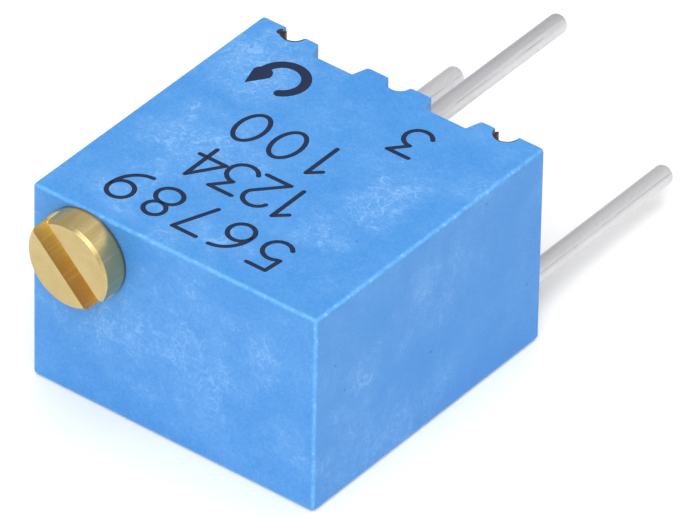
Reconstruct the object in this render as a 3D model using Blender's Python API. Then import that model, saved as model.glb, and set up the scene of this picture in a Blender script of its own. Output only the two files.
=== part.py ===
"""Quarter-inch square multi-turn trimming potentiometer.

It lies on its large face: +X runs along the screw face, +Y points towards the pins and
+Z is up. The origin is the centre of the case's bottom face. All lengths are in metres.
"""

from math import asin, atan2, cos, pi, radians, sin, sqrt, tan

import bmesh
import bpy
from mathutils import Matrix, Vector

MM = 0.001

# Case
BODY_WIDTH = 6.75 * MM
BODY_LENGTH = 6.94 * MM
BODY_HEIGHT = 4.48 * MM
EDGE_RADIUS = 0.09 * MM
SIDE_WALL = 0.50 * MM
FLOOR_WALL = 0.34 * MM
ROOF_WALL = 0.45 * MM
FRONT_WALL = 0.80 * MM
LEDGE_WIDTH = 0.35 * MM

# Standoff feet on the pin side
FOOT_HEIGHT = 0.46 * MM
FOOT_END_STEP = 0.105 * MM
MIDDLE_FOOT_WIDTH = 1.53 * MM
OUTER_FOOT_WIDTH = 1.43 * MM
FOOT_FLANK = 0.11 * MM
FOOT_TIP_RADIUS = 0.07 * MM
NOTCH_RADIUS = 0.255 * MM
NOTCH_LIP_RADIUS = 0.05 * MM

# Terminals
PIN_FROM_SIDE = 0.835 * MM
LOWER_PIN_HEIGHT = 0.59 * MM
MIDDLE_PIN_OVER_LEAD = 0.055 * MM
PIN_DIAMETER = 0.43 * MM
OUTER_PIN_LENGTH = 5.10 * MM
MIDDLE_PIN_LENGTH = 4.97 * MM
PIN_TIP_ROUND = 0.12 * MM
PIN_BEND_RADIUS = 0.40 * MM
PIN_STAND_OVER_PAD = 0.12 * MM
MIDDLE_PIN_OVERLAP = 0.45 * MM

# Adjusting screw
SCREW_FROM_TOP = 0.97 * MM
HEAD_DIAMETER = 1.90 * MM
HEAD_HEIGHT = 0.60 * MM
HEAD_CHAMFER = 0.06 * MM
SLOT_WIDTH = 0.50 * MM
SLOT_DEPTH = 0.42 * MM
SLOT_ANGLE = radians(45)
JOURNAL_DIAMETER = 0.84 * MM
SHOULDER_LENGTH = 0.16 * MM
SHAFT_DIAMETER = 0.56 * MM
REAR_JOURNAL_DEPTH = 0.50 * MM

# Seal and retaining clip
RING_SECTION = 0.30 * MM
RING_GROOVE_DIAMETER = 0.72 * MM
RING_GROOVE_LENGTH = 0.38 * MM
CLIP_THICKNESS = 0.20 * MM
CLIP_GROOVE_DIAMETER = 0.56 * MM
CLIP_WIDTH = 1.16 * MM
CLIP_BRIDGE = 0.24 * MM
CLIP_PRONG = 0.30 * MM

# Worm and wheel
WHEEL_TEETH = 17
WHEEL_FACE_WIDTH = 0.70 * MM
WORM_PITCH_RADIUS = 0.46 * MM
WORM_END_MARGIN = 0.50 * MM
TOOTH_ADDENDUM = 0.13 * MM
TOOTH_ROOT_CLEARANCE = 0.04 * MM
TOOTH_BACKLASH = 0.06 * MM
TOOTH_FLANK_ANGLE = radians(20)
WHEEL_FRONT_CLEARANCE = 0.125 * MM
WHEEL_OVER_CERAMIC = 0.38 * MM
STUB_DIAMETER = 0.70 * MM
STUB_HEIGHT = 0.40 * MM
STAKE_SIDE = 0.46 * MM
STAKE_HEIGHT = 0.16 * MM

# Wiper contact
CONTACT_THICKNESS = 0.07 * MM
CONTACT_PLATE_RADIUS = 0.46 * MM
TRACK_FINGER_WIDTH = 0.15 * MM
TRACK_FINGER_SPACING = 0.20 * MM
RING_FINGER_WIDTH = 0.20 * MM
FINGER_TOE = 0.14 * MM
FINGER_TOE_RISE = 0.06 * MM

# Printed element
SUBSTRATE_THICKNESS = 0.50 * MM
SUBSTRATE_BACK_MARGIN = 0.60 * MM
FILM_THICKNESS = 0.03 * MM
TRACK_EDGE_MARGIN = 0.10 * MM
TRACK_WIDTH = 0.28 * MM
TRACK_HALF_ANGLE = radians(141)
TRACK_TO_COLLECTOR = 0.10 * MM
COLLECTOR_WIDTH = 0.20 * MM
LEAD_WIDTH = 0.40 * MM
PAD_WIDTH = 0.52 * MM
PAD_NECK_ANGLE = radians(11)

# Barrier, solder and potting
BARRIER_THICKNESS = 0.40 * MM
BARRIER_WHEEL_CLEARANCE = 0.135 * MM
BEARING_BOSS_LENGTH = 0.30 * MM
SOLDER_WIDTH = 0.62 * MM
SOLDER_LENGTH = 1.00 * MM
SOLDER_HEIGHT = 0.74 * MM
SOLDER_AHEAD_OF_RISER = 0.12 * MM
POTTING_BELOW_FEET = 0.56 * MM
POTTING_BEHIND_RISER = 0.42 * MM
CREEP_SIDEWAYS = 0.05 * MM
CREEP_OUTWARDS = 0.035 * MM
CREEP_BELOW_ROOF = 0.05 * MM
CREEP_START = radians(186)
CREEP_END = radians(290)
MENISCUS_DEPTH = 0.30 * MM
MENISCUS_LIP = 0.04 * MM
MENISCUS_BEFORE_FEET = 0.29 * MM

# Clearances
SEAT_GAP = 0.01 * MM
RUNNING_CLEARANCE = 0.03 * MM
CHANNEL_CLEARANCE = 0.06 * MM

# Facets
ROUND_SEGMENTS = 48
WIRE_SEGMENTS = 16
WORM_SEGMENTS = 24
WORM_RINGS_PER_TURN = 12
BORE_SEGMENTS = 32
RING_SEGMENTS = 10
CORNER_STEPS = 4
BEND_STEPS = 6
MOUND_SEGMENTS = 20
MOUND_RINGS = 12

# Places worked out from the sizes above
HALF_WIDTH = BODY_WIDTH / 2
FRONT = -BODY_LENGTH / 2
SEATING = BODY_LENGTH / 2
FOOT_FACE = SEATING - FOOT_END_STEP
INNER_HALF_WIDTH = HALF_WIDTH - SIDE_WALL
INNER_FRONT = FRONT + FRONT_WALL
CEILING = BODY_HEIGHT - ROOF_WALL
BEYOND = 2 * (BODY_LENGTH + BODY_HEIGHT)

SCREW_Z = BODY_HEIGHT - SCREW_FROM_TOP
JOURNAL_RADIUS = JOURNAL_DIAMETER / 2
SHAFT_RADIUS = SHAFT_DIAMETER / 2
HEAD_BACK = FRONT - SEAT_GAP
RING_GROOVE_END = FRONT + RING_GROOVE_LENGTH
RING_BORE_RADIUS = RING_GROOVE_DIAMETER / 2 + RING_SECTION
CLIP_FRONT = INNER_FRONT - CLIP_THICKNESS
FORK_RADIUS = CLIP_GROOVE_DIAMETER / 2 + RUNNING_CLEARANCE
SHOULDER_FRONT = INNER_FRONT + RUNNING_CLEARANCE
SHOULDER_END = SHOULDER_FRONT + SHOULDER_LENGTH

PIN_RADIUS = PIN_DIAMETER / 2
PIN_PITCH = HALF_WIDTH - PIN_FROM_SIDE
OUTER_PIN_TIP = SEATING + OUTER_PIN_LENGTH
MIDDLE_PIN_TIP = SEATING + MIDDLE_PIN_LENGTH
POTTING_SURFACE = SEATING - POTTING_BELOW_FEET
RISER_Y = POTTING_SURFACE - POTTING_BEHIND_RISER - PIN_RADIUS
SUBSTRATE_BACK = RISER_Y - PIN_RADIUS - SEAT_GAP
BARRIER_BACK = SUBSTRATE_BACK - SUBSTRATE_BACK_MARGIN
BARRIER_FRONT = BARRIER_BACK - BARRIER_THICKNESS
BOSS_FRONT = BARRIER_FRONT - BEARING_BOSS_LENGTH

WHEEL_FRONT = INNER_FRONT + WHEEL_FRONT_CLEARANCE
WHEEL_BACK = BARRIER_FRONT - BARRIER_WHEEL_CLEARANCE
WHEEL_Y = (WHEEL_FRONT + WHEEL_BACK) / 2
WHEEL_OUTER_RADIUS = (WHEEL_BACK - WHEEL_FRONT) / 2
WHEEL_PITCH_RADIUS = WHEEL_OUTER_RADIUS - TOOTH_ADDENDUM
WHEEL_TOP = SCREW_Z + WHEEL_FACE_WIDTH / 2
WHEEL_BOTTOM = SCREW_Z - WHEEL_FACE_WIDTH / 2
SCREW_X = -WHEEL_PITCH_RADIUS - WORM_PITCH_RADIUS
WORM_LEAD = 2 * pi * WHEEL_PITCH_RADIUS / WHEEL_TEETH
WORM_START = SHOULDER_END + WORM_END_MARGIN
WORM_END = BOSS_FRONT - WORM_END_MARGIN
TOOTH_THICKNESS = (WORM_LEAD - TOOTH_BACKLASH) / 2
TOOTH_DEDENDUM = TOOTH_ADDENDUM + TOOTH_ROOT_CLEARANCE
WORM_OUTER_RADIUS = WORM_PITCH_RADIUS + TOOTH_ADDENDUM
WORM_ROOT_RADIUS = WORM_PITCH_RADIUS - TOOTH_DEDENDUM
CHANNEL_RADIUS = WORM_OUTER_RADIUS + CHANNEL_CLEARANCE

SUBSTRATE_TOP = WHEEL_BOTTOM - WHEEL_OVER_CERAMIC
SUBSTRATE_BOTTOM = SUBSTRATE_TOP - SUBSTRATE_THICKNESS
SUBSTRATE_MIDDLE = SUBSTRATE_TOP - SUBSTRATE_THICKNESS / 2
FILM_BOTTOM = SUBSTRATE_TOP + SEAT_GAP
FILM_TOP = FILM_BOTTOM + FILM_THICKNESS
TRACK_OUTER_RADIUS = WHEEL_OUTER_RADIUS - TRACK_EDGE_MARGIN
TRACK_INNER_RADIUS = TRACK_OUTER_RADIUS - TRACK_WIDTH
COLLECTOR_OUTER_RADIUS = TRACK_INNER_RADIUS - TRACK_TO_COLLECTOR
COLLECTOR_INNER_RADIUS = COLLECTOR_OUTER_RADIUS - COLLECTOR_WIDTH
UPPER_PIN_HEIGHT = FILM_TOP + MIDDLE_PIN_OVER_LEAD + PIN_RADIUS
RISER_TOP = FILM_TOP + PIN_STAND_OVER_PAD
MIDDLE_PIN_START = SUBSTRATE_BACK - MIDDLE_PIN_OVERLAP


def material(name, colour, roughness, metallic=0.0):
    """A Principled material of one colour."""
    made = bpy.data.materials.new(name)
    made.use_nodes = True
    shader = made.node_tree.nodes["Principled BSDF"]
    shader.inputs["Base Color"].default_value = (*colour, 1)
    shader.inputs["Roughness"].default_value = roughness
    shader.inputs["Metallic"].default_value = metallic
    made.diffuse_color = (*colour, 1)
    return made


def clear_scene():
    for old in list(bpy.data.objects):
        bpy.data.objects.remove(old, do_unlink=True)


def finish(name, bm, origin=(0, 0, 0), sharp_over=30):
    """Turns a bmesh into an object whose origin is where its piece turns, with smooth
    shading that breaks at sharp edges."""
    bmesh.ops.translate(bm, vec=-Vector(origin), verts=bm.verts)
    bmesh.ops.recalc_face_normals(bm, faces=bm.faces)
    mesh = bpy.data.meshes.new(name)
    bm.to_mesh(mesh)
    bm.free()
    mesh.shade_smooth()
    mesh.set_sharp_from_angle(angle=radians(sharp_over))
    made = bpy.data.objects.new(name, mesh)
    made.location = origin
    bpy.context.scene.collection.objects.link(made)
    return made


def combine(target, operation, name, bm):
    """Cuts a helper shape from an object, or joins it on."""
    tool = finish(name, bm)
    tool.hide_render = True
    tool.display_type = "WIRE"
    modifier = target.modifiers.new(name, "BOOLEAN")
    modifier.operation = operation
    modifier.solver = "EXACT"
    modifier.object = tool


def cut(target, name, bm):
    combine(target, "DIFFERENCE", name, bm)


def join(target, name, bm):
    combine(target, "UNION", name, bm)


def box(low, high):
    """A box between two corners."""
    bm = bmesh.new()
    bmesh.ops.create_cube(bm, size=1)
    low, high = Vector(low), Vector(high)
    bmesh.ops.scale(bm, vec=high - low, verts=bm.verts)
    bmesh.ops.translate(bm, vec=(low + high) / 2, verts=bm.verts)
    return bm


def prism(outline, low, high, axis="Z"):
    """An outline raised along an axis. Its points are (x, y), (x, z) or (y, z)."""
    put = {
        "Z": lambda a, b: (a, b, low),
        "Y": lambda a, b: (a, low, b),
        "X": lambda a, b: (low, a, b),
    }[axis]
    along = Vector([axis == letter for letter in "XYZ"]) * (high - low)
    bm = bmesh.new()
    base = bm.faces.new([bm.verts.new(put(a, b)) for a, b in outline])
    raised = bmesh.ops.extrude_face_region(bm, geom=[base])["geom"]
    verts = [item for item in raised if isinstance(item, bmesh.types.BMVert)]
    bmesh.ops.translate(bm, vec=along, verts=verts)
    return bm


def lengthen(bm, end, vec):
    """Draws a solid's end face out by a vector."""
    drawn = bmesh.ops.extrude_discrete_faces(bm, faces=[end])["faces"]
    bmesh.ops.translate(bm, vec=vec, verts=drawn[0].verts)


def place(bm, centre, axis):
    """Turns +Z onto the axis and moves the origin to the centre."""
    turn = Vector((0, 0, 1)).rotation_difference(Vector(axis)).to_matrix().to_4x4()
    bmesh.ops.transform(bm, matrix=Matrix.Translation(centre) @ turn, verts=bm.verts)


def turned(profile, segments, centre=(0, 0, 0), axis=(0, 0, 1)):
    """A profile of (distance along the axis, radius) turned about the axis, with flat
    ends."""
    bm = bmesh.new()
    verts = [bm.verts.new((radius, 0, along)) for along, radius in profile]
    edges = [bm.edges.new(pair) for pair in zip(verts, verts[1:])]
    bmesh.ops.spin(
        bm,
        geom=verts + edges,
        cent=(0, 0, 0),
        axis=(0, 0, 1),
        angle=2 * pi,
        steps=segments,
        use_merge=True,
    )
    rims = [edge for edge in bm.edges if edge.is_boundary]
    bmesh.ops.holes_fill(bm, edges=rims, sides=segments)
    place(bm, centre, axis)
    return bm


def cylinder(radius, start, end, segments=ROUND_SEGMENTS):
    """A plain cylinder between two points."""
    start, end = Vector(start), Vector(end)
    profile = [(0, radius), ((end - start).length, radius)]
    return turned(profile, segments, start, (end - start).normalized())


def along_screw(radius, start, end):
    """A cylinder on the screw's axis, between two places along it."""
    return cylinder(radius, (SCREW_X, start, SCREW_Z), (SCREW_X, end, SCREW_Z))


def arc(radius, first, last, steps, centre=(0, 0)):
    """Points of an arc."""
    angles = (first + (last - first) * i / steps for i in range(steps + 1))
    return [(centre[0] + radius * cos(a), centre[1] + radius * sin(a)) for a in angles]


def case_block():
    """The case's outer form, with all its edges rounded."""
    bm = box((-HALF_WIDTH, FRONT, 0), (HALF_WIDTH, SEATING, BODY_HEIGHT))
    bmesh.ops.bevel(
        bm,
        geom=list(bm.edges),
        affect="EDGES",
        offset=EDGE_RADIUS,
        segments=3,
        profile=0.5,
        material=-1,
    )
    return bm


def rounded_corner(before, corner, after, radius):
    """Points of the arc that rounds a corner of an outline."""
    corner = Vector(corner)
    arms = [(Vector(point) - corner).normalized() for point in (before, after)]
    half = arms[0].angle(arms[1]) / 2
    centre = corner + (arms[0] + arms[1]).normalized() * radius / sin(half)
    first, last = (corner + arm * radius / tan(half) - centre for arm in arms)
    sweep = last.angle_signed(first)
    turns = (Matrix.Rotation(sweep * i / CORNER_STEPS, 2) for i in range(CORNER_STEPS + 1))
    return [tuple(centre + turn @ first) for turn in turns]


def foot_recess(side):
    """The gap between the middle foot and an outer foot, through floor and roof."""
    inner = MIDDLE_FOOT_WIDTH / 2
    outer = HALF_WIDTH - OUTER_FOOT_WIDTH
    base = SEATING - FOOT_HEIGHT
    inner_root = (inner + FOOT_FLANK, base)
    outer_root = (outer - FOOT_FLANK, base)
    face = FOOT_FACE
    inner_tip = rounded_corner((0, face), (inner, face), inner_root, FOOT_TIP_RADIUS)
    outer_tip = rounded_corner(outer_root, (outer, face), (HALF_WIDTH, face), FOOT_TIP_RADIUS)
    past = SEATING + FOOT_HEIGHT
    outline = [(inner_tip[0][0], past), *inner_tip, inner_root]
    outline += [outer_root, *outer_tip, (outer_tip[-1][0], past)]
    return prism([(side * x, y) for x, y in outline], -BEYOND, BEYOND)


def foot_step():
    """What the feet fall short of the case's two ends, through floor and roof."""
    low = (-PIN_PITCH, FOOT_FACE, -BEYOND)
    return box(low, (PIN_PITCH, SEATING + FOOT_HEIGHT, BEYOND))


def foot_notch(column):
    """The half-round notch over a column of pins, with rounded lips, through floor and
    roof."""
    x = column * PIN_PITCH
    lip = NOTCH_LIP_RADIUS
    past = SEATING + NOTCH_RADIUS
    outline = []
    for side in (1, -1):
        if column == side:
            lip_x, level, tilt, first = NOTCH_RADIUS + lip, SEATING, 0, 0
        else:
            lip_x, level = sqrt(NOTCH_RADIUS**2 + 2 * NOTCH_RADIUS * lip), FOOT_FACE
            tilt, first = asin(lip / (NOTCH_RADIUS + lip)), 1
        half = [
            (lip_x, past),
            *arc(lip, pi / 2, pi - tilt, CORNER_STEPS, (lip_x, level - lip)),
            *arc(NOTCH_RADIUS, -tilt, -pi / 2, BORE_SEGMENTS // 4, (0, FOOT_FACE))[first:],
        ]
        points = [(x + side * across, along) for across, along in half]
        outline += points if side == 1 else points[-2::-1]
    return prism(outline, -BEYOND, BEYOND)


def ledge(side):
    """The rib on a side wall that the ceramic plate lies on."""
    low = (INNER_HALF_WIDTH - LEDGE_WIDTH, INNER_FRONT - FRONT_WALL / 2, FLOOR_WALL / 2)
    high = (INNER_HALF_WIDTH + SIDE_WALL / 2, BARRIER_BACK, SUBSTRATE_BOTTOM - SEAT_GAP)
    bm = box(low, high)
    bmesh.ops.scale(bm, vec=(side, 1, 1), verts=bm.verts)
    return bm


def clip_pocket():
    """The seat of the retaining clip in the inner side of the front wall."""
    half = CLIP_WIDTH / 2 + SEAT_GAP
    low = SCREW_Z - FORK_RADIUS - CLIP_BRIDGE - SEAT_GAP
    high = SCREW_Z + CLIP_PRONG + SEAT_GAP
    return box(
        (SCREW_X - half, CLIP_FRONT - SEAT_GAP, low),
        (SCREW_X + half, INNER_FRONT + FRONT_WALL, high),
    )


def make_housing():
    housing = finish("housing", case_block())
    housing.data.materials.append(material("blue_moulding", (0.10, 0.36, 0.83), 0.45))
    cavity = box(
        (-INNER_HALF_WIDTH, INNER_FRONT, FLOOR_WALL), (INNER_HALF_WIDTH, BEYOND, CEILING)
    )
    cut(housing, "cavity", cavity)
    inner_start = INNER_FRONT + SEAT_GAP
    cut(housing, "worm_channel", along_screw(CHANNEL_RADIUS, inner_start, BEYOND))
    cut(housing, "clip_pocket", clip_pocket())
    bearing = along_screw(JOURNAL_RADIUS + RUNNING_CLEARANCE, -BEYOND, SHOULDER_END)
    cut(housing, "screw_bearing", bearing)
    cut(housing, "ring_bore", along_screw(RING_BORE_RADIUS, -BEYOND, RING_GROOVE_END))
    cut(housing, "foot_step", foot_step())
    for side in (-1, 1):
        cut(housing, f"foot_recess_{side}", foot_recess(side))
        join(housing, f"ledge_{side}", ledge(side))
    for column in (-1, 0, 1):
        cut(housing, f"notch_{column}", foot_notch(column))
    stub_end = (0, WHEEL_Y, CEILING - STUB_HEIGHT)
    stub_root = (0, WHEEL_Y, CEILING + ROOF_WALL / 2)
    stub = cylinder(STUB_DIAMETER / 2, stub_end, stub_root, BORE_SEGMENTS)
    join(housing, "wheel_stub", stub)


def thread_radius(angle, along):
    """The radius of a right-hand thread with straight flanks."""
    turn = (along / WORM_LEAD - angle / (2 * pi)) % 1
    from_crest = abs(turn - 0.5) * WORM_LEAD
    radius = WORM_PITCH_RADIUS + (TOOTH_THICKNESS / 2 - from_crest) / tan(TOOTH_FLANK_ANGLE)
    return min(max(radius, WORM_ROOT_RADIUS), WORM_OUTER_RADIUS)


def worm():
    """The shaft behind the shoulder: rings whose radius follows the thread, which runs
    out at both ends, with a groove facing the wheel's centre."""
    length = WORM_END - WORM_START
    count = round(length / WORM_LEAD * WORM_RINGS_PER_TURN)
    rings = [WORM_START + length * i / count for i in range(count + 1)]
    root = SHOULDER_END - SHOULDER_LENGTH / 2
    end = BOSS_FRONT + REAR_JOURNAL_DEPTH
    bm = turned([(y, SHAFT_RADIUS) for y in [root, *rings, end]], WORM_SEGMENTS)
    for vert in bm.verts:
        x, y, along = vert.co
        angle = atan2(y, x)
        from_end = min(along - WORM_START, WORM_END - along)
        run_out = min(max(from_end / (WORM_LEAD / 2), 0), 1)
        thread = thread_radius(angle, along - WHEEL_Y)
        radius = SHAFT_RADIUS + (thread - SHAFT_RADIUS) * run_out
        vert.co = (radius * cos(angle), radius * sin(angle), along)
    place(bm, (SCREW_X, 0, SCREW_Z), (0, 1, 0))
    return bm


def screw_front():
    """Head, seal groove, journal, clip groove and shoulder, turned in one profile."""
    head_radius = HEAD_DIAMETER / 2
    face = HEAD_BACK - HEAD_HEIGHT
    groove_radius = RING_GROOVE_DIAMETER / 2
    clip_radius = CLIP_GROOVE_DIAMETER / 2
    clip_near = CLIP_FRONT - RUNNING_CLEARANCE
    profile = [
        (face, head_radius - HEAD_CHAMFER),
        (face + HEAD_CHAMFER, head_radius),
        (HEAD_BACK, head_radius),
        (HEAD_BACK, groove_radius),
        (RING_GROOVE_END, groove_radius),
        (RING_GROOVE_END, JOURNAL_RADIUS),
        (clip_near, JOURNAL_RADIUS),
        (clip_near, clip_radius),
        (SHOULDER_FRONT, clip_radius),
        (SHOULDER_FRONT, JOURNAL_RADIUS),
        (SHOULDER_END, JOURNAL_RADIUS),
    ]
    return turned(profile, ROUND_SEGMENTS, (SCREW_X, 0, SCREW_Z), (0, 1, 0))


def screw_slot():
    face = HEAD_BACK - HEAD_HEIGHT
    low = (-HEAD_DIAMETER, face - HEAD_HEIGHT, -SLOT_WIDTH / 2)
    high = (HEAD_DIAMETER, face + SLOT_DEPTH, SLOT_WIDTH / 2)
    bm = box(low, high)
    turn = Matrix.Rotation(SLOT_ANGLE, 4, "Y")
    matrix = Matrix.Translation((SCREW_X, 0, SCREW_Z)) @ turn
    bmesh.ops.transform(bm, matrix=matrix, verts=bm.verts)
    return bm


def make_screw():
    screw = finish("adjusting_screw", screw_front(), (SCREW_X, FRONT, SCREW_Z))
    screw.data.materials.append(material("brass", (0.80, 0.58, 0.24), 0.28, 1.0))
    join(screw, "worm", worm())
    cut(screw, "screw_slot", screw_slot())


def make_ring():
    """The round seal in the neck's groove."""
    bm = bmesh.new()
    section = RING_SECTION / 2 - SEAT_GAP
    middle = (RING_GROOVE_DIAMETER + RING_SECTION) / 2
    circle = bmesh.ops.create_circle(bm, segments=RING_SEGMENTS, radius=section)["verts"]
    upright = Matrix.Translation((middle, 0, 0)) @ Matrix.Rotation(pi / 2, 4, "X")
    bmesh.ops.transform(bm, matrix=upright, verts=circle)
    bmesh.ops.spin(
        bm,
        geom=list(bm.verts) + list(bm.edges),
        cent=(0, 0, 0),
        axis=(0, 0, 1),
        angle=2 * pi,
        steps=BORE_SEGMENTS,
        use_merge=True,
    )
    place(bm, (SCREW_X, (HEAD_BACK + RING_GROOVE_END) / 2, SCREW_Z), (0, 1, 0))
    seal = finish("screw_o_ring", bm)
    seal.data.materials.append(material("black_rubber", (0.02, 0.02, 0.02), 0.6))


def make_clip():
    """The forked plate that straddles the screw's second groove."""
    half = CLIP_WIDTH / 2
    bottom = -FORK_RADIUS - CLIP_BRIDGE
    throat = arc(FORK_RADIUS, 2 * pi, pi, BORE_SEGMENTS // 2)
    inside = [(FORK_RADIUS, CLIP_PRONG), *throat, (-FORK_RADIUS, CLIP_PRONG)]
    outside = [(-half, CLIP_PRONG), (-half, bottom), (half, bottom), (half, CLIP_PRONG)]
    outline = [(SCREW_X + x, SCREW_Z + z) for x, z in inside + outside]
    clip = finish("screw_retaining_clip", prism(outline, CLIP_FRONT, INNER_FRONT, "Y"))
    clip.data.materials.append(material("clip_steel", (0.55, 0.55, 0.56), 0.35, 1.0))


def tooth_outline():
    """The wheel's outline, with a tooth that points at the worm."""
    half_tooth = TOOTH_THICKNESS / 2 / WHEEL_PITCH_RADIUS
    outline = []
    for tooth in range(WHEEL_TEETH):
        middle = pi + 2 * pi * tooth / WHEEL_TEETH
        root, tip = -TOOTH_DEDENDUM, TOOTH_ADDENDUM
        for side, height in ((-1, root), (-1, tip), (1, tip), (1, root)):
            lean = height * tan(TOOTH_FLANK_ANGLE) / WHEEL_PITCH_RADIUS
            angle = middle + side * (half_tooth - lean)
            radius = WHEEL_PITCH_RADIUS + height
            outline.append((radius * cos(angle), radius * sin(angle)))
    return outline


def toothed_wheel():
    """The toothed rim, twisted by the worm's lead angle as it rises."""
    twist = WORM_LEAD / (2 * pi * WORM_PITCH_RADIUS) / WHEEL_PITCH_RADIUS
    bm = prism(tooth_outline(), WHEEL_BOTTOM, SCREW_Z)
    top = max(bm.faces, key=lambda face: face.calc_center_median().z)
    lengthen(bm, top, (0, 0, WHEEL_TOP - SCREW_Z))
    for vert in bm.verts:
        turn = Matrix.Rotation(twist * (vert.co.z - SCREW_Z), 3, "Z")
        vert.co = turn @ vert.co
    bmesh.ops.translate(bm, vec=(0, WHEEL_Y, 0), verts=bm.verts)
    return bm


def make_wheel():
    wheel = finish("worm_wheel", toothed_wheel(), (0, WHEEL_Y, SCREW_Z))
    wheel.data.materials.append(material("wheel_moulding", (0.75, 0.72, 0.64), 0.5))
    bore_end = (0, WHEEL_Y, CEILING - STUB_HEIGHT - RUNNING_CLEARANCE)
    bore_radius = STUB_DIAMETER / 2 + RUNNING_CLEARANCE
    bore = cylinder(bore_radius, bore_end, (0, WHEEL_Y, BEYOND), BORE_SEGMENTS)
    cut(wheel, "stub_bore", bore)
    half = STAKE_SIDE / 2
    stake = box(
        (-half, WHEEL_Y - half, WHEEL_BOTTOM - STAKE_HEIGHT),
        (half, WHEEL_Y + half, SCREW_Z - WHEEL_FACE_WIDTH / 4),
    )
    join(wheel, "stake", stake)


def finger(width, x, points):
    """A bent finger of the contact, as a strip along points (distance, height)."""
    half = CONTACT_THICKNESS / 2
    outline = [(y, z + half) for y, z in points] + [(y, z - half) for y, z in reversed(points)]
    return prism(outline, x - width / 2, x + width / 2, "X")


def make_contact():
    """Sheet contact: a staked plate with two fingers on the track and two on the
    collector."""
    half = CONTACT_THICKNESS / 2
    plate_z = WHEEL_BOTTOM - SEAT_GAP - half
    toe_z = FILM_TOP + SEAT_GAP + half
    disc = arc(CONTACT_PLATE_RADIUS, 0, 2 * pi, BORE_SEGMENTS, (0, WHEEL_Y))[:-1]
    plate = prism(disc, plate_z - half, plate_z + half)
    contact = finish("wiper_contact", plate, (0, WHEEL_Y, SCREW_Z))
    contact.data.materials.append(material("spring_alloy", (0.78, 0.70, 0.50), 0.3, 1.0))
    track_y = WHEEL_Y - TRACK_INNER_RADIUS - TRACK_WIDTH / 2
    track_finger = [
        (WHEEL_Y - CONTACT_PLATE_RADIUS / 2, plate_z),
        (WHEEL_Y - CONTACT_PLATE_RADIUS - FINGER_TOE / 2, plate_z),
        (track_y + FINGER_TOE, toe_z),
        (track_y, toe_z),
        (track_y - FINGER_TOE, toe_z + FINGER_TOE_RISE),
    ]
    ring_x = CONTACT_PLATE_RADIUS - RING_FINGER_WIDTH / 2
    ring_radius = COLLECTOR_INNER_RADIUS + COLLECTOR_WIDTH / 2
    ring_y = WHEEL_Y + sqrt(ring_radius**2 - ring_x**2)
    ring_finger = [
        (WHEEL_Y - RING_FINGER_WIDTH, plate_z),
        (WHEEL_Y + RING_FINGER_WIDTH / 2, plate_z),
        (ring_y - FINGER_TOE / 2, toe_z),
        (ring_y, toe_z),
        (ring_y + FINGER_TOE, toe_z + FINGER_TOE_RISE),
    ]
    for side in (-1, 1):
        x = side * TRACK_FINGER_SPACING / 2
        join(contact, f"track_finger_{side}", finger(TRACK_FINGER_WIDTH, x, track_finger))
        bm = finger(RING_FINGER_WIDTH, side * ring_x, ring_finger)
        join(contact, f"ring_finger_{side}", bm)
    hole = STAKE_SIDE / 2 + SEAT_GAP
    stake_hole = box((-hole, WHEEL_Y - hole, 0), (hole, WHEEL_Y + hole, BODY_HEIGHT))
    cut(contact, "stake_hole", stake_hole)


def make_substrate():
    half = INNER_HALF_WIDTH - SEAT_GAP
    plate = box(
        (-half, INNER_FRONT + SEAT_GAP, SUBSTRATE_BOTTOM), (half, SUBSTRATE_BACK, SUBSTRATE_TOP)
    )
    made = finish("ceramic_substrate", plate)
    made.data.materials.append(material("alumina", (0.85, 0.84, 0.80), 0.5))


def film(name, outline, finish_material):
    made = finish(name, prism(outline, FILM_BOTTOM, FILM_TOP))
    made.data.materials.append(finish_material)
    return made


def make_prints():
    """Track, collector and end pads, printed on the ceramic."""
    cermet = material("cermet_film", (0.06, 0.06, 0.07), 0.5)
    silver = material("conductor_film", (0.62, 0.60, 0.56), 0.4, 1.0)
    centre = (0, WHEEL_Y)
    first = -pi / 2 - TRACK_HALF_ANGLE
    last = -pi / 2 + TRACK_HALF_ANGLE
    track = arc(TRACK_OUTER_RADIUS, first, last, ROUND_SEGMENTS, centre)
    track += arc(TRACK_INNER_RADIUS, last, first, ROUND_SEGMENTS, centre)
    film("resistive_track", track, cermet)

    disc = arc(COLLECTOR_OUTER_RADIUS, 0, 2 * pi, ROUND_SEGMENTS, centre)[:-1]
    collector = film("collector_ring", disc, silver)
    lead = box(
        (-LEAD_WIDTH / 2, WHEEL_Y + COLLECTOR_OUTER_RADIUS - COLLECTOR_WIDTH / 2, FILM_BOTTOM),
        (LEAD_WIDTH / 2, SUBSTRATE_BACK, FILM_TOP),
    )
    join(collector, "collector_lead", lead)
    hole = cylinder(COLLECTOR_INNER_RADIUS, (0, WHEEL_Y, 0), (0, WHEEL_Y, BODY_HEIGHT))
    cut(collector, "collector_hole", hole)

    end = last + SEAT_GAP / TRACK_INNER_RADIUS
    neck = arc(TRACK_INNER_RADIUS, end + PAD_NECK_ANGLE, end, CORNER_STEPS, centre)
    shoulder = (TRACK_OUTER_RADIUS * cos(end), WHEEL_Y + TRACK_OUTER_RADIUS * sin(end))
    near = PIN_PITCH - PAD_WIDTH / 2
    far = PIN_PITCH + PAD_WIDTH / 2
    pad = [
        *neck,
        shoulder,
        (far, BARRIER_FRONT - PAD_WIDTH / 2),
        (far, SUBSTRATE_BACK),
        (near, SUBSTRATE_BACK),
        (near, BARRIER_FRONT + PAD_WIDTH / 2),
    ]
    film("end_pad_3", pad, silver)
    film("end_pad_1", [(-x, y) for x, y in pad], silver)


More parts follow.
